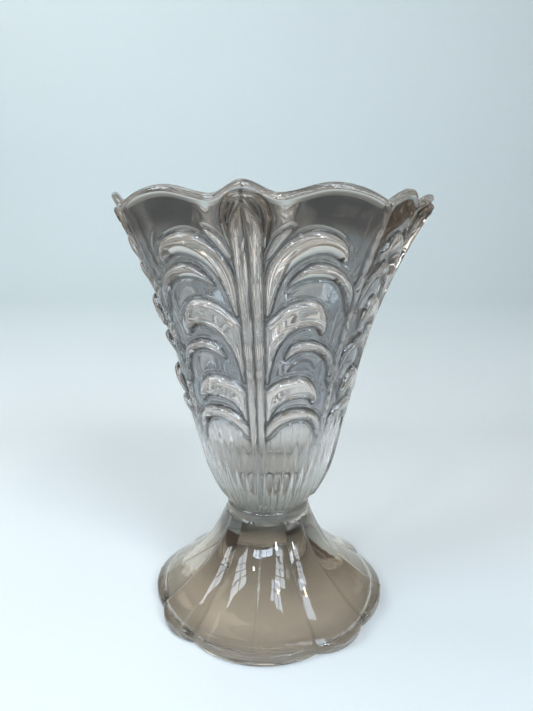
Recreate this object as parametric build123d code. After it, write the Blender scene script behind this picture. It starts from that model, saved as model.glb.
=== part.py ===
from build123d import *

import math
import os

# Footed vase of clear pressed glass: a flared bowl with a palm-frond relief, a wafer and a hollow lobed foot.
# Millimetres, +Z up, origin at the centre of the foot's resting ring. A face centre points along -Y.
# The bowl has four alike faces. Each is mirrored about its stem, so one eighth of a turn is worked out
# and repeated. Angles in that eighth run from the stem, share 0, to the corner ridge, share 1.

# Overall sizes
vase_height = 200.0
rim_radius = 75.5
foot_lobe_radius = 58.5

# Repeats
face_count = 4
eighth = math.pi / face_count

# Wafer, the disc of glass that joins the bowl to the foot
wafer_radius = 20.6
wafer_bottom = 46.0
wafer_thickness = 6.5
wafer_edge_radius = 2.6

# Bowl, ground surface under the relief
bowl_base_radius = 20.4
cone_radius = 40.8
cone_top = 120.0
cone_slope_share = 0.225
cup_height = 24.0
square_share = 0.075
square_rise = 60.0
square_fall = 60.0
rim_square_share = 0.35
flat_panel_rise = 90.0

# Bowl, wall and inside
rim_wall = 4.4
base_wall = 5.4
floor_thickness = 9.5
floor_radius = 13.0
inner_cup_height = 26.0

# Bowl, rim waves: drop below the top at the stem, the valley beside it, the lobe and the corner
rim_valley_angle_share = 0.23
rim_lobe_angle_share = 0.6
rim_valley_drop = 3.8
rim_lobe_drop = 0.2
rim_corner_drop = 6.0

# Bowl, relief heights and half widths
frond_height = 2.6
frond_half_width = 6.0
leaf_half_width = 4.6
stem_height = 2.6
stem_half_width = 4.4
stem_groove = 0.9
bud_height = 3.6
bud_half_width = 11.0
bud_length = 25.0
bud_top_gap = 5.0
corner_ridge_height = 2.2
corner_ridge_half_width = 3.4
flute_height = 0.7
flute_count = 5
flute_top = 98.0
flute_fade = 16.0

# Palm fronds of one half face, top to bottom, as cubic curves: angle shares and height shares of the vase.
# Each starts low beside the stem, rises to its crown and droops towards the corner.
frond_shares = (
    ((0.13, 0.770), (0.18, 0.915), (0.55, 0.930), (0.82, 0.880)),
    ((0.11, 0.640), (0.18, 0.770), (0.52, 0.800), (0.78, 0.735)),
    ((0.10, 0.530), (0.18, 0.610), (0.52, 0.640), (0.84, 0.565)),
)
leaf_shares = (
    ((0.34, 0.800), (0.48, 0.872), (0.82, 0.880), (0.93, 0.760)),
    ((0.34, 0.640), (0.46, 0.722), (0.82, 0.715), (0.94, 0.600)),
    ((0.10, 0.478), (0.30, 0.560), (0.82, 0.575), (0.94, 0.460)),
)
# Half width along a frond, from its root to its tip, as a share of the full half width.
root_width_share = 0.45
tip_width_share = 0.55

# Foot
foot_lip_height = 5.0
foot_top_radius = 21.5
foot_crease_depth = 3.0
foot_crease_share = 2 / 3
foot_ring_width = 6.0
foot_ceiling_thickness = 5.5
foot_ceiling_radius = 8.5
# Flare of the foot from its lip to the wafer: height shares and radius shares between those two.
foot_flare_shares = (
    (0.0, 1.0), (0.2, 0.69), (0.42, 0.40), (0.54, 0.275), (0.68, 0.17), (0.86, 0.065), (1.0, 0.0),
)
# Hollow of the foot, from the resting ring to the ceiling, in the same two kinds of share.
foot_hollow_shares = (
    (0.0, 1.0), (0.075, 0.985), (0.21, 0.79), (0.44, 0.51), (0.705, 0.27), (0.9, 0.12), (1.0, 0.0),
)

# Fineness of the bowl's surface grids
angle_steps = 40
outer_steps = 96
bead_steps = 8
inner_steps = 48
curve_steps = 28
ring_slack = 0.01
relief_slack = 0.3

foot_ring_radius = foot_lobe_radius - foot_ring_width
bowl_base = wafer_bottom + wafer_thickness
floor_height = bowl_base + floor_thickness
flare_gain = rim_radius - cone_radius - cone_slope_share * (vase_height - cone_top)
rim_tilt = math.atan(cone_slope_share + 2 * flare_gain / (vase_height - cone_top))
bead_radius = rim_wall * math.cos(rim_tilt) / 2


def smooth(share):
    """Eased step from 0 to 1 as share goes from 0 to 1."""
    t = min(1.0, max(0.0, share))
    return t * t * (3 - 2 * t)


def ground_radius(z):
    """Radius of the bowl's ground at a face centre: a cup, a cone and a flare."""
    cone = cone_radius + cone_slope_share * (z - cone_top)
    cup_top = bowl_base + cup_height
    cup_drop = cone_radius + cone_slope_share * (bowl_base - cone_top) - bowl_base_radius
    cup_left = max(0.0, (cup_top - z) / cup_height)
    flare = max(0.0, (z - cone_top) / (vase_height - cone_top))
    return cone - cup_drop * cup_left**2 + flare_gain * flare**2


def plan_factor(angle_share, z):
    """Factor on the round plan: a rounded square above the cup, eight flat panels at the rim."""
    rise = smooth((z - bowl_base) / square_rise)
    fall = 1 - (1 - rim_square_share) * smooth(1 - (vase_height - z) / square_fall)
    square = 1 + square_share * rise * fall * (1 - math.cos(math.pi * angle_share)) / 2
    panel = math.cos(eighth / 2) / math.cos((angle_share - 0.5) * eighth)
    return square * (1 + (panel - 1) * smooth(1 - (vase_height - z) / flat_panel_rise))


def rim_height(angle_share):
    """Height of the waved rim: a peak on the stem, a valley, a broad lobe and a sharp dip at the corner."""
    if angle_share < rim_valley_angle_share:
        drop = rim_valley_drop * smooth(angle_share / rim_valley_angle_share)
    elif angle_share < rim_lobe_angle_share:
        climb = (angle_share - rim_valley_angle_share) / (rim_lobe_angle_share - rim_valley_angle_share)
        drop = rim_valley_drop + (rim_lobe_drop - rim_valley_drop) * smooth(climb)
    else:
        fall = (angle_share - rim_lobe_angle_share) / (1 - rim_lobe_angle_share)
        drop = rim_lobe_drop + (rim_corner_drop - rim_lobe_drop) * fall**2
    return vase_height - drop


def unrolled(angle_share, z):
    """Place on the flattened half face: distance round the bowl and height."""
    return Vector(angle_share * eighth * ground_radius(z), z)


def cubic(points, t):
    """Point of a cubic curve whose four control points are given."""
    weights = ((1 - t) ** 3, 3 * t * (1 - t) ** 2, 3 * t * t * (1 - t), t**3)
    return tuple(sum(w * p[axis] for w, p in zip(weights, points)) for axis in (0, 1))


def frond_line(shares, half_width):
    """Points along a frond on the flattened half face, each with the band's half width there."""
    line = []
    for step in range(curve_steps + 1):
        t = step / curve_steps
        angle_share, height_share = cubic(shares, t)
        ends = root_width_share * (1 - t) ** 3 + tip_width_share * t**3
        body = 1 - (1 - t) ** 3 - t**3
        line.append((unrolled(angle_share, height_share * vase_height), half_width * (ends + body)))
    return line


frond_lines = [frond_line(shares, frond_half_width) for shares in frond_shares]
frond_lines += [frond_line(shares, leaf_half_width) for shares in leaf_shares]


def rounded(reach):
    """Height share of a band with soft edges at a distance given in half widths."""
    return (1 - reach * reach) ** 2 if reach < 1 else 0.0


def stem_relief(place, z):
    """Stem with a groove down its middle, widening upwards with the bowl."""
    half_width = stem_half_width * ground_radius(z) / ground_radius(vase_height)
    reach = place.X / half_width
    return stem_height * rounded(reach) - stem_groove * rounded(2 * reach)


def bud_relief(place):
    """Pointed hood at the stem's head, under the rim's middle wave."""
    middle = vase_height - bud_top_gap - bud_length / 2
    along = (place.Y - middle) / (bud_length / 2)
    half_width = bud_half_width * max(0.0, 1 - along * along) ** 0.5
    return bud_height * rounded(place.X / half_width) if half_width > 0 else 0.0


def corner_relief(place, z):
    """Ridge along the corner between two faces."""
    gap = eighth * ground_radius(z) - place.X
    rise = smooth((z - bowl_base) / square_rise)
    return corner_ridge_height * rise * rounded(gap / corner_ridge_half_width)


def flute_relief(angle_share, z):
    """Upright flutes round the lower bowl, fading out under the lowest frond and at the base."""
    wave = (1 - math.cos(2 * math.pi * flute_count * angle_share)) / 2
    return flute_height * wave * smooth((flute_top - z) / flute_fade) * smooth((z - bowl_base) / flute_fade)


def relief(angle_share, z):
    """Height of the relief over the ground: a soft form of the highest feature there."""
    place = unrolled(angle_share, z)
    heights = [stem_relief(place, z), bud_relief(place)]
    heights += [corner_relief(place, z), flute_relief(angle_share, z)]
    for line in frond_lines:
        reach = min((place - point).length / half_width for point, half_width in line)
        heights.append(frond_height * rounded(reach))
    return sum(height**4 for height in heights) ** 0.25


def at(angle_share, radius, z):
    """Point of the first eighth, which starts at the face centre on -Y and turns towards +X."""
    angle = angle_share * eighth
    return (radius * math.sin(angle), -radius * math.cos(angle), z)


def outer_point(angle_share, height_share):
    """Point of the bowl's outside with its relief, from the base up to the start of the rim bead."""
    top = rim_height(angle_share) - bead_radius * (1 + math.sin(rim_tilt))
    z = bowl_base + height_share * (top - bowl_base)
    return at(angle_share, ground_radius(z) * plan_factor(angle_share, z) + relief(angle_share, z), z)


def inner_point(angle_share, height_share):
    """Point of the bowl's smooth inside, from the floor's rounded corner up to the end of the rim bead."""
    top = rim_height(angle_share) - bead_radius * (1 - math.sin(rim_tilt))
    z = floor_height + height_share * (top - floor_height)
    wall = base_wall + (rim_wall - base_wall) * height_share
    floor_edge = ground_radius(floor_height) * plan_factor(angle_share, floor_height) - base_wall
    corner = (floor_edge - floor_radius) * max(0.0, 1 - (z - floor_height) / inner_cup_height) ** 2
    return at(angle_share, ground_radius(z) * plan_factor(angle_share, z) - wall - corner, z)


def bead_point(angle_share, turn_share):
    """Point of the half-round bead that joins the outside to the inside at the rim."""
    outer = Vector(outer_point(angle_share, 1.0))
    inner = Vector(inner_point(angle_share, 1.0))
    turn = math.pi * turn_share
    crown = Vector(at(angle_share, bead_radius * math.sin(rim_tilt), bead_radius * math.cos(rim_tilt)))
    return (outer + inner) / 2 + (outer - inner) / 2 * math.cos(turn) + crown * math.sin(turn)


def wall_face():
    """Smooth face of one eighth: up the outside, over the bead and down the inside."""
    rows = [(outer_point, step / outer_steps) for step in range(outer_steps)]
    rows += [(bead_point, step / bead_steps) for step in range(bead_steps)]
    rows += [(inner_point, 1 - step / inner_steps) for step in range(inner_steps + 1)]
    shares = [step / angle_steps for step in range(angle_steps + 1)]
    grid = [[point(angle_share, along) for angle_share in shares] for point, along in rows]
    return Face.make_surface_from_array_of_points(grid, tol=relief_slack, min_deg=3)


def all_round(face):
    """Copies of one eighth's face for the whole turn: mirrored about the stem, then repeated."""
    pair = [face, face.mirror(Plane.YZ)]
    return [half.rotate(Axis.Z, turn * 360 / face_count) for turn in range(face_count) for half in pair]


def flat_disc(faces, height):
    """Flat face that closes the ring of edges lying at the given height."""
    edges = [edge for face in faces for edge in face.edges()]
    boxes = [(edge, edge.bounding_box()) for edge in edges]
    ring = [edge for edge, box in boxes if max(abs(box.max.Z - height), abs(box.min.Z - height)) < ring_slack]
    return Face(Wire.combine(ring, tol=ring_slack)[0])


def make_bowl():
    """Bowl: the wall all round, the floor and the base disc sewn into one solid."""
    wall = all_round(wall_face())
    bowl = Solid(Shell(wall + [flat_disc(wall, bowl_base), flat_disc(wall, floor_height)]))
    return bowl.fix()


def make_wafer():
    """Wafer: a flat disc with a rounded edge."""
    disc = Cylinder(wafer_radius, wafer_thickness, align=(Align.CENTER, Align.CENTER, Align.MIN))
    disc = fillet(disc.edges().filter_by(GeomType.CIRCLE), wafer_edge_radius)
    return Pos(0, 0, wafer_bottom) * disc


def lobed_outline(radius, crease_depth, z):
    """Closed outline with a wide lobe on each face and a narrow one on each corner."""
    crease_angle = foot_crease_share * eighth
    arcs = []
    for turn in range(face_count):
        middle = turn * 2 * eighth
        for low, high in ((-crease_angle, crease_angle), (crease_angle, 2 * eighth - crease_angle)):
            ends = [(radius - crease_depth, middle + low), (radius, middle + (low + high) / 2),
                    (radius - crease_depth, middle + high)]
            arcs.append(ThreePointArc(*[(r * math.sin(a), -r * math.cos(a), z) for r, a in ends]))
    return Face(Wire(arcs))


def make_foot():
    """Foot: a lip and a lobed flare up to the wafer, with a round hollow underneath."""
    lip = extrude(lobed_outline(foot_lobe_radius, foot_crease_depth, 0), foot_lip_height, dir=(0, 0, 1))
    outlines = []
    for height_share, radius_share in foot_flare_shares:
        z = foot_lip_height + height_share * (wafer_bottom - foot_lip_height)
        radius = foot_top_radius + radius_share * (foot_lobe_radius - foot_top_radius)
        outlines.append(lobed_outline(radius, foot_crease_depth * radius / foot_lobe_radius, z))
    flare = loft(outlines)
    ceiling = wafer_bottom - foot_ceiling_thickness
    gain = foot_ring_radius - foot_ceiling_radius
    wall = [(foot_ceiling_radius + radius_share * gain, height_share * ceiling)
            for height_share, radius_share in foot_hollow_shares]
    with BuildPart() as hollow:
        with BuildSketch(Plane.XZ):
            with BuildLine():
                Spline(*wall)
                Polyline(wall[-1], (0, ceiling), (0, 0), wall[0])
            make_face()
        revolve(axis=Axis.Z)
    return lip + flare - hollow.part


os.makedirs("parts", exist_ok=True)
for name, solid in (("bowl", make_bowl()), ("wafer", make_wafer()), ("foot", make_foot())):
    print(name, solid.is_valid, len(solid.solids()), round(solid.volume))
    export_step(solid, f"parts/{name}.step")
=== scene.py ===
import math

import bpy
import numpy as np
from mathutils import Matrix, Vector


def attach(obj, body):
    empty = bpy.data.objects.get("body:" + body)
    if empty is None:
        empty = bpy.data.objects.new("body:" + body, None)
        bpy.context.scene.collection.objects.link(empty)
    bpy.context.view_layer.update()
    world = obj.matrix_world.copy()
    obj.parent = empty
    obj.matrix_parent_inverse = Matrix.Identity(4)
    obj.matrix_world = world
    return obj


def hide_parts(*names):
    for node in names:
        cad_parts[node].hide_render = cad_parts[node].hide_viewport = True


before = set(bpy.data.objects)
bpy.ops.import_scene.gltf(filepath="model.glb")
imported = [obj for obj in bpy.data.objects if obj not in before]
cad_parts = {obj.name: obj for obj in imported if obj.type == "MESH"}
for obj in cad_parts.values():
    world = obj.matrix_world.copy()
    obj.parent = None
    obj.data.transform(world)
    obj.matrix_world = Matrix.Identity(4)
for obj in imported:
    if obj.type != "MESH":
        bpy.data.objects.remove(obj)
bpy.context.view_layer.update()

MM = 0.001
scene = bpy.context.scene

# Footed vase of clear pressed glass, in the frame of the solids: +Z up, a face centre along -Y.
# The bowl has four alike faces, each mirrored about its stem, so one eighth of a turn is worked out and
# repeated. There u runs from the stem, 0, to the corner ridge, 1, x is the distance round the bowl from the
# stem, and z is the height. The vase and the camera are in millimetres, the stage and the lamps in metres.

# Overall sizes
vase_height = 200.0
rim_radius = 75.5
face_count = 4
eighth = math.pi / face_count

# Wafer
wafer_radius = 20.6
wafer_bottom = 46.0
wafer_thickness = 6.5
wafer_edge_radius = 2.6

# Bowl under its relief
bowl_base = wafer_bottom + wafer_thickness
bowl_base_radius = 20.4
cone_radius = 40.8
cone_top = 120.0
cone_slope = 0.225
cup_height = 24.0
square_share = 0.075
square_rise = 60.0
square_fall = 60.0
rim_square_share = 0.35
flat_panel_rise = 90.0
flare_gain = rim_radius - cone_radius - cone_slope * (vase_height - cone_top)

# Wall and inside of the bowl. The floor is smaller and rounder here than in the solid.
rim_wall = 4.4
base_wall = 5.4
floor_thickness = 9.5
floor_height = bowl_base + floor_thickness
floor_radius = 4.0
floor_dish = 0.35
inner_cup_height = 36.0

# Rim: angle shares of its valley and lobe, drops below the top, and the half-round bead
rim_valley = 0.23
rim_lobe = 0.6
rim_valley_drop = 3.8
rim_lobe_drop = 0.2
rim_corner_drop = 6.0
rim_tilt = math.atan(cone_slope + 2 * flare_gain / (vase_height - cone_top))
bead_radius = rim_wall * math.cos(rim_tilt) / 2

# Foot. Its lip is rounded and the top of its hollow is domed here.
foot_lobe_radius = 58.5
foot_top_radius = 21.5
foot_lip = 5.0
lip_rounding = 1.6
crease_depth = 3.0
crease_share = 2 / 3
ring_width = 6.0
ring_radius = foot_lobe_radius - ring_width
ring_edge_width = 0.4
ring_edge_height = 0.5
ceiling_thickness = 5.5
ceiling = wafer_bottom - ceiling_thickness
ceiling_radius = 8.5
ceiling_dome = 2.2
# Height shares and radius shares of the flare, lip to wafer, and of the hollow, resting ring to ceiling
flare_shares = ((0.0, 1.0), (0.2, 0.69), (0.42, 0.40), (0.54, 0.275), (0.68, 0.17), (0.86, 0.065), (1.0, 0.0))
hollow_shares = (
    (0.0, 1.0), (0.075, 0.985), (0.21, 0.79), (0.44, 0.51), (0.705, 0.27), (0.9, 0.12), (1.0, 0.0),
)

# The model stays this far inside the box of the solids at the rim
rim_slack = 0.03
# Hairline between pieces that are fused on the real vase, so that no two faces lie in one place
hairline = 0.03


def smooth(share):
    """Eased step from 0 to 1 as share goes from 0 to 1."""
    t = np.clip(share, 0.0, 1.0)
    return t * t * (3 - 2 * t)


def bell(distance, width):
    """Soft peak of 1 at no distance."""
    return np.exp(-((distance / width) ** 2))


def ground_radius(z):
    """Radius of the bowl under its relief: a cup, a cone and a flare."""
    cone = cone_radius + cone_slope * (z - cone_top)
    cup_drop = cone_radius + cone_slope * (bowl_base - cone_top) - bowl_base_radius
    cup = np.maximum(0, (bowl_base + cup_height - z) / cup_height)
    flare = np.maximum(0, (z - cone_top) / (vase_height - cone_top))
    return cone - cup_drop * cup**2 + (flare_gain - rim_slack) * flare**2


def plan_factor(u, z):
    """A rounded square above the cup, which turns into eight flat panels at the rim."""
    rise = smooth((z - bowl_base) / square_rise)
    fall = 1 - (1 - rim_square_share) * smooth(1 - (vase_height - z) / square_fall)
    square = 1 + square_share * rise * fall * (1 - np.cos(np.pi * u)) / 2
    panel = math.cos(eighth / 2) / np.cos((u - 0.5) * eighth)
    return square * (1 + (panel - 1) * smooth(1 - (vase_height - z) / flat_panel_rise))


def rim_height(u):
    """A peak on the stem, a valley, a broad lobe and a sharp dip at the corner."""
    peak = rim_valley_drop * smooth(u / rim_valley)
    climb_share = smooth((u - rim_valley) / (rim_lobe - rim_valley))
    climb = rim_valley_drop + (rim_lobe_drop - rim_valley_drop) * climb_share
    dip_share = np.clip((u - rim_lobe) / (1 - rim_lobe), 0, 1) ** 2
    dip = rim_lobe_drop + (rim_corner_drop - rim_lobe_drop) * dip_share
    return vase_height - rim_slack - np.where(u < rim_valley, peak, np.where(u < rim_lobe, climb, dip))


# Outlines of the relief on one half face: angle shares from stem to corner, and height shares of the vase
fronds = (
    ((.14, .745), (.118, .800), (.136, .834), (.18, .863), (.293, .894), (.407, .910), (.524, .916),
     (.627, .912), (.73, .902), (.82, .876), (.81, .856), (.73, .870), (.62, .880), (.486, .874),
     (.364, .857), (.276, .830), (.227, .800), (.193, .772)),
    ((.14, .597), (.122, .668), (.111, .733), (.22, .755), (.335, .774), (.451, .784), (.575, .786),
     (.655, .779), (.718, .761), (.767, .730), (.73, .712), (.69, .726), (.627, .735), (.518, .735),
     (.393, .722), (.313, .704), (.244, .681), (.18, .638)),
    ((.14, .510), (.11, .552), (.098, .584), (.233, .609), (.389, .620), (.549, .625), (.658, .618),
     (.753, .598), (.811, .570), (.77, .557), (.72, .570), (.687, .575), (.547, .578), (.38, .571),
     (.24, .551)),
)
leaves = (
    ((.324, .811), (.387, .832), (.482, .852), (.587, .859), (.713, .853), (.85, .832), (.953, .803),
     (.985, .765), (.93, .758), (.90, .783), (.82, .815), (.70, .832), (.536, .833), (.427, .826)),
    ((.338, .659), (.387, .685), (.46, .699), (.607, .704), (.758, .694), (.916, .67), (.985, .63),
     (.985, .60), (.92, .60), (.90, .640), (.80, .668), (.66, .683), (.52, .682), (.42, .672)),
    ((.10, .480), (.12, .505), (.244, .533), (.42, .549), (.602, .552), (.76, .545), (.927, .52),
     (.985, .48), (.985, .455), (.93, .455), (.911, .481), (.807, .51), (.667, .526), (.493, .525),
     (.311, .511), (.162, .482)),
    ((.13, .862), (.17, .885), (.23, .908), (.352, .924), (.31, .909), (.25, .893), (.19, .873)),
)
hood = (
    (-.2, .985), (.08, .982), (.15, .968), (.19, .937), (.175, .91), (.13, .88), (.085, .852), (-.2, .852),
)
hood_hollow = (
    (.035, .968), (.085, .968), (.13, .950), (.142, .925), (.132, .902), (.115, .905), (.09, .935),
    (.05, .955),
)

# Fronds and leaves: height, distance from the border to full height, and what the outline grows by
frond_height = 2.7
frond_reach = 3.8
frond_margin = 0.5
leaf_height = 2.2
leaf_reach = 2.8
leaf_margin = 0.4
corner_fade = 0.6
corner_fade_start = 0.72
corner_fade_run = 0.2
# Stem: its two rolls widen and rise with the bowl's radius, and end in a point
stem_half_share = 0.105
stem_margin = 0.4
stem_height = 1.5
stem_height_share = 0.025
stem_roundness = 0.8
stem_point_start = 180.0
stem_point_run = 14.0
stem_least_share = 0.02
stem_narrow = 1.0
# Bud
hood_height = 3.0
hood_reach = 3.2
hood_blend = 0.8
hollow_depth = 2.4
hollow_reach = 2.0
hollow_edge = 1.2
# Corner ridge, and the relief height that counts as fully raised
ridge_height = 1.5
ridge_width = 1.3
full_relief = 2.0
# Flutes: they end under the lowest leaf, at these angle shares and height shares
flute_top_angles = (0.1, 0.2, 0.31, 0.49, 0.67, 0.81, 0.91, 1.0)
flute_top_heights = (0.47, 0.488, 0.508, 0.522, 0.523, 0.507, 0.478, 0.45)
flute_height = 0.65
flutes_per_eighth = 5.5
flute_start = 0.1
flute_fade = 5.0
flute_rise = 8.0
# Cove under the rim's bead, and the fine groove round fronds and leaves
cove_depth = 0.8
cove_start = 2.9
cove_edge = 1.2
cove_run = 3.6
cove_raised_loss = 0.6
groove_depth = 0.6
groove_gap = 0.7
groove_width = 0.6
# The relief rises out of the joint at the base
relief_rise = 3.0
relief_least = 0.1

# Painted shade and painted highlight on the glass: shares of the light that the painted shade takes away at
# each place, and widths of those places
border_shade = 0.97
border_width = 0.6
border_flute_loss = 0.7
field_shade = 0.60
flute_shade = 0.14
stem_shade = 0.18
stem_shade_edge = 0.5
band_shade = 0.78
band_raised_loss = 0.5
inner_band_shade = 0.35
hollow_shade = 0.85
corner_line_shade = 0.6
corner_line_gap = 1.8
corner_line_width = 0.55
ridge_light = 0.6
raised_painted_warmth = 0.5
# What the painted warmer and cooler colours take from red, green and blue
painted_warm_loss = (-0.05, 0.14, 0.32)
painted_cool_loss = (0.14, 0.055, 0.0)
# Painted shade: a dark band under the rim, and the clear place in it on each side of the bud
band_start = 2.8
band_edge = 1.0
band_end = 10.0
band_fade = 8.0
clear_angle = 0.28
clear_width = 0.07
clear_end = 9.0
clear_fade = 6.0
# A distance that counts as far from every border
far = 9.0


def rounded_outline(points, rounds=3):
    """Closed outline with its corners cut off a few times, which leaves soft bends."""
    p = np.array(points, float)
    for _ in range(rounds):
        after = np.roll(p, -1, axis=0)
        p = np.stack([0.75 * p + 0.25 * after, 0.25 * p + 0.75 * after], axis=1).reshape(-1, 2)
    return p


def flattened(points):
    """Outline on the flattened face, in millimetres."""
    p = rounded_outline(points)
    z = p[:, 1] * vase_height
    return np.stack([p[:, 0] * eighth * ground_radius(z), z], axis=1)


def inside_distance(x, y, outline):
    """Distance in millimetres to an outline on the flattened face, positive inside it."""
    tiny = 1e-12
    best = np.full(x.shape, np.inf)
    odd = np.zeros(x.shape, bool)
    for (ax, ay), (bx, by) in zip(outline, np.roll(outline, -1, axis=0)):
        dx, dy = bx - ax, by - ay
        t = np.clip(((x - ax) * dx + (y - ay) * dy) / (dx * dx + dy * dy + tiny), 0, 1)
        best = np.minimum(best, np.hypot(x - ax - t * dx, y - ay - t * dy))
        crosses = (ay > y) != (by > y)
        odd ^= crosses & (x < ax + (y - ay) * dx / (dy if abs(dy) > tiny else tiny))
    return np.where(odd, best, -best)


def pillow(distance, reach):
    """Plump band: rises from its border, round towards its middle, flat past the reach."""
    left = 1 - np.clip(distance / reach, 0, 1)
    return 1 - left**2


def rim_band(rim_gap):
    """Share of the painted dark band under the rim's bead, at a distance below the rim."""
    return smooth((rim_gap - band_start) / band_edge) * (1 - smooth((rim_gap - band_end) / band_fade))


def beside_bud(u):
    """Share of the clear place on each side of the bud."""
    return bell(u - clear_angle, clear_width)


def relief(u, z):
    """Height of the pressed relief over the ground in millimetres, and the painted shade, painted highlight
    and painted colour of the glass there.
    """
    r = ground_radius(z)
    x = u * eighth * r
    corner_gap = eighth * r - x
    rim_gap = rim_height(u) - z
    frond_gaps = [inside_distance(x, z, flattened(outline)) + frond_margin for outline in fronds]
    leaf_gaps = [inside_distance(x, z, flattened(outline)) + leaf_margin for outline in leaves]
    hood_gap = inside_distance(x, z, flattened(hood))
    hollow_gap = inside_distance(x, z, flattened(hood_hollow))

    # fronds and leaves die away towards the corner
    fade = 1 - corner_fade * smooth((u - corner_fade_start) / corner_fade_run)
    heights = [frond_height * pillow(gap, frond_reach) * fade for gap in frond_gaps]
    heights += [leaf_height * pillow(gap, leaf_reach) * fade for gap in leaf_gaps]
    # stem: two rolls with a groove between them, which meet in a point inside the bud
    taper = smooth((z - stem_point_start) / stem_point_run) ** 2
    stem_half = (stem_half_share * r - stem_margin) * np.maximum(stem_least_share, 1 - taper)
    roll = 1 - (np.abs(x / stem_half - 0.5) / 0.5) ** 2
    heights.append((stem_height + stem_height_share * r) * np.clip(roll, 0, 1) ** stem_roundness)
    # hood of the bud on both sides of the stem, with a hollow in each side
    beside = smooth((x - stem_half + hood_blend / 2) / hood_blend)
    hood_rise = hood_height * pillow(hood_gap, hood_reach) - hollow_depth * pillow(hollow_gap, hollow_reach)
    heights.append(hood_rise * beside)
    # thin ridge on the corner
    ridge = np.clip(1 - corner_gap / ridge_width, 0, 1)
    heights.append(ridge_height * smooth((z - bowl_base) / square_rise) * ridge)
    raised = np.clip(np.maximum.reduce(heights) / full_relief, 0, 1)
    # upright flutes under the lowest leaf
    flute_top = np.interp(u, flute_top_angles, flute_top_heights) * vase_height
    fluted = smooth((flute_top - z) / flute_fade)
    wave = (0.5 + 0.5 * np.cos(2 * np.pi * flutes_per_eighth * (u - flute_start))) ** 2
    heights.append(flute_height * wave * fluted * smooth((z - bowl_base) / flute_rise))
    # cove under the rim's bead, steep above and slow below
    clear = beside_bud(u)
    cove = smooth((rim_gap - cove_start) / cove_edge) * bell(rim_gap - cove_start, cove_run)
    groove = cove_depth * cove * (1 - cove_raised_loss * raised) * (1 - clear)
    # fine groove round each frond and leaf
    nearest = np.maximum.reduce(frond_gaps + leaf_gaps)
    groove += groove_depth * bell(nearest + groove_gap, groove_width) * (1 - raised)
    height = np.maximum(np.maximum.reduce(heights), 0) - groove

    # painted shade in the fields and along the borders of the relief, standing in for the dark refraction
    # there
    borders = [np.where(beside < 0.5, far, gap) for gap in frond_gaps + leaf_gaps + [hood_gap, hollow_gap]]
    borders += [stem_half - x, np.where(stem_half < stem_narrow, far, x)]
    edge = np.minimum.reduce([np.abs(gap) for gap in borders])
    border = bell(edge, border_width) * (1 - border_flute_loss * fluted)
    clear = clear * (1 - smooth((rim_gap - clear_end) / clear_fade))
    field = (1 - raised) * (1 - fluted) * (1 - border) * (1 - clear)
    light = 1 - border_shade * border - field_shade * field
    # painted shade in the valleys of the flutes and on the stem
    light *= 1 - flute_shade * (1 - wave) * fluted - stem_shade * smooth((stem_half - x) / stem_shade_edge)
    # painted shade: a dark band under the rim with a clear place beside the bud, and dark hollows in the bud
    band = rim_band(rim_gap) * (1 - band_raised_loss * raised) * (1 - clear)
    hollow = smooth(hollow_gap / hollow_edge)
    light *= (1 - band_shade * band) * (1 - hollow_shade * hollow)
    # painted highlight on the corner ridge between two painted dark lines
    light *= 1 - corner_line_shade * bell(corner_gap - corner_line_gap, corner_line_width) * (1 - fluted)
    light += ridge_light * ridge * (1 - light)
    # painted warm reflection on the raised relief, the band and the hollows, and a painted cooler colour in
    # the fields
    painted_warmth = np.clip(raised_painted_warmth * raised * (1 - fluted) + band + hollow, 0, 1)
    painted_cool = np.clip(1 - 2 * painted_warmth, 0, 1) * (1 - fluted)
    painted_tone = light[:, None] * (1 - np.outer(painted_warmth, painted_warm_loss) - np.outer(painted_cool, painted_cool_loss))
    return height, painted_tone


def polar(angle, radius, z):
    """Points whose angle runs from the face centre on -Y towards +X."""
    radius = np.broadcast_to(radius, angle.shape)
    height = np.broadcast_to(z, angle.shape)
    return np.stack([radius * np.sin(angle), -radius * np.cos(angle), height], axis=-1)


def eighth_share(angle):
    """Share from the nearest face centre, 0, to the nearest corner, 1."""
    return np.abs((angle + eighth) % (2 * eighth) - eighth) / eighth


def all_round(columns):
    """Angles of a full turn, evenly spread."""
    return np.arange(columns) * 2 * np.pi / columns


def gray(shares):
    """Tones that take the same from red, green and blue."""
    return np.repeat(shares[:, None], 3, axis=1)


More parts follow.
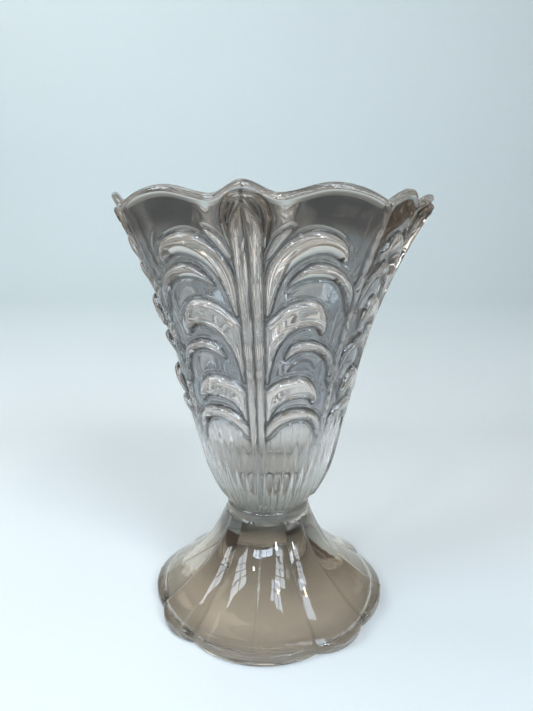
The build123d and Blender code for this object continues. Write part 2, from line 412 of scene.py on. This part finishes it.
def ring_mesh(name, rings, painted_tones, joint_first=False, joint_last=False):
    """Piece closed over rings of points in millimetres. A cap that is a joint takes the second material."""
    count = len(rings[0])
    column = np.arange(count)
    after = np.roll(column, -1)
    starts = count * np.arange(len(rings))
    quads = [np.stack([low + column, low + after, low + count + after, low + count + column], axis=1)
             for low in starts[:-1]]
    first_centre = count * len(rings)
    first_cap = np.stack([np.full(count, first_centre), after, column], axis=1)
    last_cap = np.stack([starts[-1] + column, starts[-1] + after, np.full(count, first_centre + 1)], axis=1)
    verts = np.concatenate([*rings, [rings[0].mean(axis=0), rings[-1].mean(axis=0)]])
    corners = np.concatenate([faces.ravel() for faces in (*quads, first_cap, last_cap)])
    sizes = np.repeat([4, 3], [count * len(quads), 2 * count])
    slots = np.repeat([0, int(joint_first), int(joint_last)], [count * len(quads), count, count])

    mesh = bpy.data.meshes.new(name)
    mesh.vertices.add(len(verts))
    mesh.vertices.foreach_set("co", (verts * MM).ravel())
    mesh.loops.add(len(corners))
    mesh.loops.foreach_set("vertex_index", corners.astype(np.int32))
    mesh.polygons.add(len(sizes))
    mesh.polygons.foreach_set("loop_start", (np.cumsum(sizes) - sizes).astype(np.int32))
    mesh.polygons.foreach_set("material_index", slots.astype(np.int32))
    mesh.update(calc_edges=True)
    mesh.validate()
    mesh.polygons.foreach_set("use_smooth", np.ones(len(sizes), bool))

    # the edge of a joint is sharp
    ends = np.zeros(len(mesh.edges) * 2, np.int32)
    mesh.edges.foreach_get("vertices", ends)
    rows = ends.reshape(-1, 2) // count
    sharp = np.zeros(len(mesh.edges), bool)
    for row, joint in ((0, joint_first), (len(rings) - 1, joint_last)):
        if joint:
            sharp |= (rows == row).all(axis=1)
    attribute = mesh.attributes.get("sharp_edge") or mesh.attributes.new("sharp_edge", "BOOLEAN", "EDGE")
    attribute.data.foreach_set("value", sharp)
    # painted_tone: painted shade, painted highlight and painted colour at each point, which the glass reads
    painted_tone = mesh.attributes.new("painted_tone", "FLOAT_VECTOR", "POINT")
    painted_tone.data.foreach_set("vector", np.concatenate([*painted_tones, np.ones((2, 3))]).ravel())

    piece = bpy.data.objects.new(name, mesh)
    scene.collection.objects.link(piece)
    return piece


def make_bowl():
    """Bowl: up the outside with its relief, over the bead and down the smooth inside to the floor."""
    per_eighth, outer_rows, bead_rows, inner_rows = 120, 320, 12, 90
    floor_rows = (0.8, 0.55, 0.3, 0.12)
    angle = all_round(2 * face_count * per_eighth)
    u = np.arange(per_eighth + 1) / per_eighth
    spread = np.rint(eighth_share(angle) * per_eighth).astype(int)
    plain = np.ones((len(angle), 3))
    rim = rim_height(u)
    base = bowl_base + hairline

    def outer(share):
        top = rim - bead_radius * (1 + math.sin(rim_tilt))
        z = base + share * (top - base)
        height, painted_tone = relief(u, z)
        rise = smooth((z - base) / relief_rise + relief_least)
        r = ground_radius(z) * plan_factor(u, z) + height * rise
        return polar(angle, r[spread], z[spread]), painted_tone[spread]

    def inner(share):
        top = rim - bead_radius * (1 - math.sin(rim_tilt))
        z = floor_height + share * (top - floor_height)
        wall = base_wall + (rim_wall - base_wall) * share
        floor_gap = ground_radius(floor_height) - base_wall - floor_radius
        corner = floor_gap * np.maximum(0, 1 - (z - floor_height) / inner_cup_height) ** 2
        r = ground_radius(z) * plan_factor(u, z) - wall - corner
        # painted shade: a dark band on the inside under the rim
        painted_tone = gray(1 - inner_band_shade * rim_band(rim - z) * (1 - beside_bud(u)))
        return polar(angle, r[spread], z[spread]), painted_tone[spread]

    outside = [outer(row / outer_rows) for row in range(outer_rows)]
    inside = [inner(1 - row / inner_rows) for row in range(1, inner_rows + 1)]
    end, start = outer(1.0)[0], inner(1.0)[0]
    crown = polar(angle, bead_radius * math.sin(rim_tilt), bead_radius * math.cos(rim_tilt))
    bead = []
    for turn in np.pi * np.arange(bead_rows + 1) / bead_rows:
        ring = (end + start) / 2 + (end - start) / 2 * math.cos(turn) + crown * math.sin(turn)
        bead.append((ring, plain))
    floor = [(polar(angle, floor_radius * share, floor_height - floor_dish * (1 - share)), plain)
             for share in floor_rows]
    rings, painted_tones = zip(*outside, *bead, *inside, *floor)
    return ring_mesh("vase_bowl", rings, painted_tones, joint_first=True)


def make_wafer():
    """Wafer: a flat disc with a rounded edge."""
    angle = all_round(160)
    low, high = wafer_bottom + hairline, bowl_base - hairline
    flat_radius = wafer_radius - wafer_edge_radius
    turns = np.linspace(0, np.pi / 2, 9)
    rings = [polar(angle, flat_radius + wafer_edge_radius * math.sin(turn),
                   low + wafer_edge_radius - wafer_edge_radius * math.cos(turn)) for turn in turns]
    rings += [polar(angle, flat_radius + wafer_edge_radius * math.cos(turn),
                    high - wafer_edge_radius + wafer_edge_radius * math.sin(turn)) for turn in turns]
    painted_tones = [np.ones((len(angle), 3))] * len(rings)
    return ring_mesh("vase_wafer", rings, painted_tones, joint_first=True, joint_last=True)


# Mould seams on the foot's faces with a painted dark line along each, and painted shade on the folds in the
# creases and on the flanks up the neck.
# The widths of seams and folds are measured round the foot at this radius.
seam_and_fold_radius = 40.0
seam_and_shade_fade = 4.0
seam_height = 0.25
seam_width = 0.35
seam_shade = 0.12
fold_width = 0.8
fold_shade = 0.3
flank_shade = 0.35
flank_start = 0.3
flank_run = 0.3
flank_bottom = 15.0
flank_rise = 10.0


def profile(shares, low, high, inner, outer, z):
    """Radius at a height on a smooth line through points given as height shares and radius shares."""
    knots_z = low + np.array([h for h, _ in shares]) * (high - low)
    knots_r = inner + np.array([r for _, r in shares]) * (outer - inner)
    slope = np.gradient(knots_r, knots_z)
    i = min(np.searchsorted(knots_z, z, side="right") - 1, len(knots_z) - 2)
    step = knots_z[i + 1] - knots_z[i]
    t = (z - knots_z[i]) / step
    ends = (1 + 2 * t) * (1 - t) ** 2 * knots_r[i] + t * t * (3 - 2 * t) * knots_r[i + 1]
    return ends + (t * (1 - t) ** 2 * slope[i] + t * t * (t - 1) * slope[i + 1]) * step


def make_foot():
    """Foot: from the dome of its hollow down to the resting ring, round the lip and up the lobed flare."""
    dome_rows = (0.1, 0.3, 0.5, 0.7, 0.85, 0.95)
    hollow_rows, lip_rows, flare_rows = 60, 7, 100
    angle = all_round(768)
    face = eighth_share(angle)
    # share of the crease depth: 0 at the middle of a lobe, 1 at a crease
    wide_lobe = np.clip(face / crease_share, 0, 1) ** 2
    narrow_lobe = np.clip((1 - face) / (1 - crease_share), 0, 1) ** 2
    crease = np.where(face < crease_share, wide_lobe, narrow_lobe)
    seam = bell(face * eighth * seam_and_fold_radius, seam_width)
    fold = bell((face - crease_share) * eighth * seam_and_fold_radius, fold_width)
    # hollow underneath
    rings = [polar(angle, ceiling_radius * share, ceiling + ceiling_dome * (1 - share**2))
             for share in dome_rows]
    for z in np.linspace(ceiling, ring_edge_height, hollow_rows):
        rings.append(polar(angle, profile(hollow_shares, 0, ceiling, ceiling_radius, ring_radius, z), z))
    # resting ring and lip
    rings.append(polar(angle, ring_radius + ring_edge_width, 0.0))
    for turn in np.linspace(0, np.pi / 2, lip_rows):
        r = foot_lobe_radius - lip_rounding + lip_rounding * math.sin(turn) - crease_depth * crease
        rings.append(polar(angle, r, lip_rounding - lip_rounding * math.cos(turn)))
    painted_tones = [np.ones((len(angle), 3))] * len(rings)
    # flare up to the wafer
    for z in np.linspace(foot_lip, wafer_bottom - hairline, flare_rows):
        r = profile(flare_shares, foot_lip, wafer_bottom, foot_top_radius, foot_lobe_radius, z)
        fade = smooth((wafer_bottom - z) / seam_and_shade_fade)
        crease_here = crease_depth * r / foot_lobe_radius * crease
        rings.append(polar(angle, r - crease_here + seam_height * seam * fade, z))
        # painted shade on the flanks, along the folds in the creases and along the mould seams
        flank = smooth((face - flank_start) / flank_run) * smooth((z - flank_bottom) / flank_rise)
        lines = (fold_shade * fold + seam_shade * seam) * fade
        painted_tones.append(gray((1 - lines) * (1 - flank_shade * flank)))
    return ring_mesh("vase_foot", rings, painted_tones, joint_last=True)


def color_ramp(nodes, stops):
    """Colour ramp node with the given stops, each a position and a colour."""
    ramp = nodes.new("ShaderNodeValToRGB")
    elements = ramp.color_ramp.elements
    while len(elements) < len(stops):
        elements.new(0.5)
    for element, (position, color) in zip(elements, stops):
        element.position = position
        element.color = (*color, 1)
    return ramp


def coordinates(nodes, links, kind):
    """Coordinates of the shaded point, and the height among them."""
    place = nodes.new("ShaderNodeTexCoord").outputs[kind]
    split = nodes.new("ShaderNodeSeparateXYZ")
    links.new(place, split.inputs["Vector"])
    return place, split.outputs["Z"]


# Glass
glass_ior = 1.55
# The tint's heights, shares of the vase height, wander by this much with a soft noise
tint_wander = 0.02
tint_noise_scale = 30.0
tint_noise_detail = 2.0
# Painted tints by height share: painted shade and painted warm reflection of a dark brown room, darkest at
# the wafer and the bowl's base, darker and warmer at the rim, tan on the foot and dark at its top
bowl_painted_tints = (
    (0.262, (0.17, 0.165, 0.145)), (0.31, (0.62, 0.595, 0.53)), (0.40, (0.95, 0.915, 0.88)),
    (0.5, (0.90, 0.885, 0.89)), (0.8, (0.87, 0.835, 0.815)), (0.97, (0.78, 0.71, 0.65)),
)
foot_painted_tints = (
    (0.0, (0.60, 0.545, 0.48)), (0.026, (0.68, 0.61, 0.535)), (0.045, (0.94, 0.825, 0.705)),
    (0.09, (0.92, 0.805, 0.685)), (0.155, (0.62, 0.555, 0.48)), (0.19, (0.37, 0.345, 0.31)),
    (0.23, (0.22, 0.21, 0.19)),
)
bowl_waviness = 0.02
bowl_wave_scale = 90.0
foot_waviness = 0.22
foot_wave_scale = 60.0
wave_height = 1.0 * MM


def glass(name, painted_tints, waviness, wave_scale):
    """Clear pressed glass with a painted tint that changes with height, painted shade and painted warm
    reflection of a dark room, and a faintly wavy surface.
    """
    material = bpy.data.materials.new(name)
    material.use_nodes = True
    nodes, links = material.node_tree.nodes, material.node_tree.links
    shader = nodes["Principled BSDF"]
    shader.inputs["Transmission Weight"].default_value = 1.0
    shader.inputs["Roughness"].default_value = 0.0
    shader.inputs["IOR"].default_value = glass_ior
    place, height = coordinates(nodes, links, "Object")
    # height share of the vase, less half of the wander
    level = nodes.new("ShaderNodeMapRange")
    level.inputs["From Max"].default_value = vase_height * MM
    level.inputs["To Min"].default_value = -tint_wander / 2
    level.inputs["To Max"].default_value = 1 - tint_wander / 2
    links.new(height, level.inputs["Value"])
    noise = nodes.new("ShaderNodeTexNoise")
    noise.inputs["Scale"].default_value = tint_noise_scale
    noise.inputs["Detail"].default_value = tint_noise_detail
    links.new(place, noise.inputs["Vector"])
    wander = nodes.new("ShaderNodeMath")
    wander.operation = "MULTIPLY_ADD"
    wander.inputs[1].default_value = tint_wander
    links.new(noise.outputs["Fac"], wander.inputs[0])
    links.new(level.outputs["Result"], wander.inputs[2])
    ramp = color_ramp(nodes, painted_tints)
    links.new(wander.outputs["Value"], ramp.inputs["Fac"])
    # the painted tint times the painted_tone that the mesh carries
    painted_tone = nodes.new("ShaderNodeAttribute")
    painted_tone.attribute_name = "painted_tone"
    shaded = nodes.new("ShaderNodeVectorMath")
    shaded.operation = "MULTIPLY"
    links.new(ramp.outputs["Color"], shaded.inputs[0])
    links.new(painted_tone.outputs["Vector"], shaded.inputs[1])
    links.new(shaded.outputs["Vector"], shader.inputs["Base Color"])
    wave = nodes.new("ShaderNodeTexNoise")
    wave.inputs["Scale"].default_value = wave_scale
    links.new(place, wave.inputs["Vector"])
    bump = nodes.new("ShaderNodeBump")
    bump.inputs["Strength"].default_value = waviness
    bump.inputs["Distance"].default_value = wave_height
    links.new(wave.outputs["Fac"], bump.inputs["Height"])
    links.new(bump.outputs["Normal"], shader.inputs["Normal"])
    return material


def joint_material():
    """Fused joint: light passes straight on from one piece of glass to the next."""
    material = bpy.data.materials.new("fused_joint")
    material.use_nodes = True
    nodes, links = material.node_tree.nodes, material.node_tree.links
    nodes.remove(nodes["Principled BSDF"])
    clear = nodes.new("ShaderNodeBsdfTransparent")
    links.new(clear.outputs["BSDF"], nodes["Material Output"].inputs["Surface"])
    return material


clear_glass = glass("clear_glass", bowl_painted_tints, bowl_waviness, bowl_wave_scale)
foot_glass = glass("foot_glass", foot_painted_tints, foot_waviness, foot_wave_scale)
fused = joint_material()
for piece, node, material in (
    (make_bowl(), "bowl", clear_glass),
    (make_wafer(), "wafer", clear_glass),
    (make_foot(), "foot", foot_glass),
):
    piece.data.materials.append(material)
    piece.data.materials.append(fused)
    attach(piece, "root")
    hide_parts(node)

# Camera at the photograph's place: its distance from the vase's axis, its height, its turn round the vase,
# its step to the side and its dip below the level. The lens was fitted in pixels of the photograph's height.
camera_distance = 260.2
camera_height = 180.0
camera_turn = math.radians(7.3)
camera_side = -0.8
camera_dip = math.radians(11.92)
lens_pixels = 546.3
photo_height_pixels = 711
sensor_width = 36.0

camera = bpy.data.objects.new("camera", bpy.data.cameras.new("camera"))
camera.data.sensor_width = sensor_width
camera.data.lens = lens_pixels / photo_height_pixels * sensor_width
camera.data.clip_start = 0.01
camera.data.clip_end = 20.0
camera.location = Vector((
    camera_distance * math.sin(camera_turn) + camera_side * math.cos(camera_turn),
    -camera_distance * math.cos(camera_turn) + camera_side * math.sin(camera_turn),
    camera_height,
)) * MM
camera.rotation_euler = (math.pi / 2 - camera_dip, 0, camera_turn)
scene.collection.objects.link(camera)
scene.camera = camera

# Pale floor that curves up into a backdrop behind the vase, in metres.
# It lies a hair under the resting ring, so that glass and floor do not share a plane.
floor_level = -0.0002
floor_end = 0.25
floor_reach = 3.0
backdrop_bend = 0.3
backdrop_top = 0.555
backdrop_half_width = 0.415
floor_shade = (0.90, 0.94, 0.93)
# The wall is painted darker than the floor and a little lighter towards its top: painted shade and painted
# light for how the lamps fall on the stage
wall_shade = (0.62, 0.685, 0.675)
wall_top_shade = (0.66, 0.72, 0.71)


def sheet(name, line, half_width, shades):
    """Stage surface: a line in the YZ plane drawn out sideways, its colour changing with height."""
    verts = [(x, y, z) for y, z in line for x in (-half_width, half_width)]
    faces = [(2 * row, 2 * row + 1, 2 * row + 3, 2 * row + 2) for row in range(len(line) - 1)]
    mesh = bpy.data.meshes.new(name)
    mesh.from_pydata(verts, [], faces)
    mesh.polygons.foreach_set("use_smooth", [True] * len(faces))
    piece = bpy.data.objects.new(name, mesh)
    scene.collection.objects.link(piece)
    piece.rotation_euler = (0, 0, camera_turn)
    material = bpy.data.materials.new(name)
    material.use_nodes = True
    nodes, links = material.node_tree.nodes, material.node_tree.links
    shader = nodes["Principled BSDF"]
    shader.inputs["Roughness"].default_value = 0.9
    shader.inputs["Specular IOR Level"].default_value = 0.1
    _, height = coordinates(nodes, links, "Object")
    ramp = color_ramp(nodes, shades)
    links.new(height, ramp.inputs["Fac"])
    links.new(ramp.outputs["Color"], shader.inputs["Base Color"])
    piece.data.materials.append(material)


curve = [(floor_end + backdrop_bend * math.sin(a), floor_level + backdrop_bend - backdrop_bend * math.cos(a))
         for a in np.linspace(0, math.pi / 2, 25)]
wall_end = (floor_end + backdrop_bend, backdrop_top)
sheet("floor", [(-floor_reach, floor_level), (floor_end, floor_level)], floor_reach,
      ((0.0, floor_shade), (1.0, floor_shade)))
sheet("backdrop", curve + [wall_end], backdrop_half_width,
      ((0.0, floor_shade), (0.10, wall_shade), (0.40, wall_top_shade)))

# Colours of the lamps
daylight = (0.76, 0.89, 1.0)
blue_daylight = (0.68, 0.81, 1.0)
blue_bulb = (0.72, 0.83, 1.0)
pale_bulb = (0.9, 0.96, 1.0)
amber = (1.0, 0.78, 0.45)
soft_white = (1.0, 0.995, 0.97)
# Share of a window pane that is not bar
pane_share = 0.84


def area(name, place, target, size, power, color):
    """Rectangular lamp at a place, facing its target."""
    lamp = bpy.data.lights.new(name, "AREA")
    lamp.shape = "RECTANGLE"
    lamp.size, lamp.size_y = size
    lamp.energy = power
    lamp.color = color
    piece = bpy.data.objects.new(name, lamp)
    piece.location = place
    piece.rotation_euler = (Vector(target) - Vector(place)).to_track_quat("-Z", "Y").to_euler()
    scene.collection.objects.link(piece)


def window(name, place, target, size, panes, power, color):
    """Window of separate panes, so that its reflection shows the bars between them."""
    facing = (Vector(target) - Vector(place)).to_track_quat("-Z", "Y")
    across, up = panes
    width, height = size[0] / across, size[1] / up
    for i in range(across):
        for j in range(up):
            offset = Vector(((i - (across - 1) / 2) * width, (j - (up - 1) / 2) * height, 0))
            spot = Vector(place) + facing @ offset
            area(f"{name}_{i}_{j}", spot, spot + facing @ Vector((0, 0, -1)),
                 (width * pane_share, height * pane_share), power / across / up, color)


# Lamps: place, target, size, panes of a window, and watts
window("window_left", (-0.66, -0.44, 0.54), (0, 0, 0.03), (0.36, 0.50), (2, 4), 3.4, daylight)
window("window_right", (0.52, -0.54, 0.54), (0, 0, 0.03), (0.30, 0.50), (2, 4), 2.6, daylight)
window("front", (-0.03, -0.95, 0.50), (0, 0, 0.14), (1.0, 0.12), (6, 1), 4.4, blue_daylight)
window("front_top", (0.34, -0.50, 0.85), (0, 0, 0.14), (0.26, 0.24), (3, 2), 1.2, blue_daylight)
area("overhead_left", (-0.42, 0.10, 0.85), (-0.05, 0.06, 0), (0.60, 0.60), 2.2, soft_white)
area("overhead_right", (0.35, 0.16, 0.95), (0.05, 0.06, 0), (0.5, 0.5), 0.5, soft_white)
area("bulb_left", (-0.32, -0.70, 0.55), (0, 0, 0.12), (0.05, 0.07), 0.6, pale_bulb)
area("bulb_high", (-0.10, -0.50, 0.72), (0, 0, 0.12), (0.05, 0.05), 0.4, blue_bulb)
area("bulb_low", (0.45, -0.60, 0.30), (0, 0, 0.12), (0.05, 0.05), 0.4, blue_bulb)
area("bulb_right", (0.36, -0.44, 0.78), (0, 0, 0.06), (0.05, 0.05), 0.5, amber)

# Dim brown room round the stage, darker overhead
room_shades = ((0.1, (0.16, 0.13, 0.105)), (0.7, (0.07, 0.058, 0.048)))
room_strength = 0.9

world = bpy.data.worlds.new("studio")
world.use_nodes = True
scene.world = world
nodes, links = world.node_tree.nodes, world.node_tree.links
_, height = coordinates(nodes, links, "Generated")
ramp = color_ramp(nodes, room_shades)
links.new(height, ramp.inputs["Fac"])
links.new(ramp.outputs["Color"], nodes["Background"].inputs["Color"])
nodes["Background"].inputs["Strength"].default_value = room_strength

# Light has to pass many walls of glass
scene.cycles.max_bounces = 24
scene.cycles.glossy_bounces = 16
scene.cycles.transmission_bounces = 24
scene.cycles.transparent_max_bounces = 16
scene.view_settings.view_transform = "Standard"
